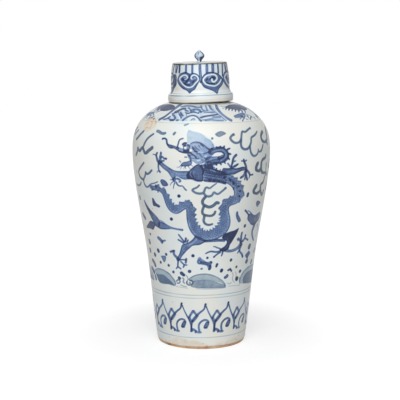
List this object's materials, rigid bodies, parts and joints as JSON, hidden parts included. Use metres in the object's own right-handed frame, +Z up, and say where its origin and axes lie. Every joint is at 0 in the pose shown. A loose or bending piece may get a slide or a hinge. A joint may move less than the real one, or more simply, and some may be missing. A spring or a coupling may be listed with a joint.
{
  "type": "meiping vase with cover",
  "caption": "High-shouldered covered vase with a small mouth and a recessed foot; a cap-shaped cover with a bud knob lifts off a short lipped neck.",
  "frame": {"origin": "centre of the foot's resting face", "axes": "+Z up along the vase from the foot to the knob, -Y towards the painted front, +X to the right of the front"},
  "size_m": [0.1876, 0.1876, 0.4004],
  "materials": {
    "glaze": "glossy transparent porcelain glaze with a faint blue-green tint",
    "cobalt": "painted cobalt line under the glaze",
    "cobalt_wash": "thin cobalt wash under the glaze",
    "biscuit": "unglazed porcelain body, burnt orange at the glaze edge",
    "firing_scar": "rough orange scar in the glaze"
  },
  "bodies": {
    "vase": {"foot_section": "glaze", "belly_section": "glaze", "shoulder_section": "glaze", "neck": "glaze"},
    "cover": {"cover_cap": "glaze", "cover_spigot": "biscuit", "knob": "cobalt_wash"}
  },
  "joints": [
    {"name": "cover_lift", "type": "slide", "parent": "vase", "child": "cover", "axis": [0, 0, 1], "range_m": [0, 0.08]}
  ]
}
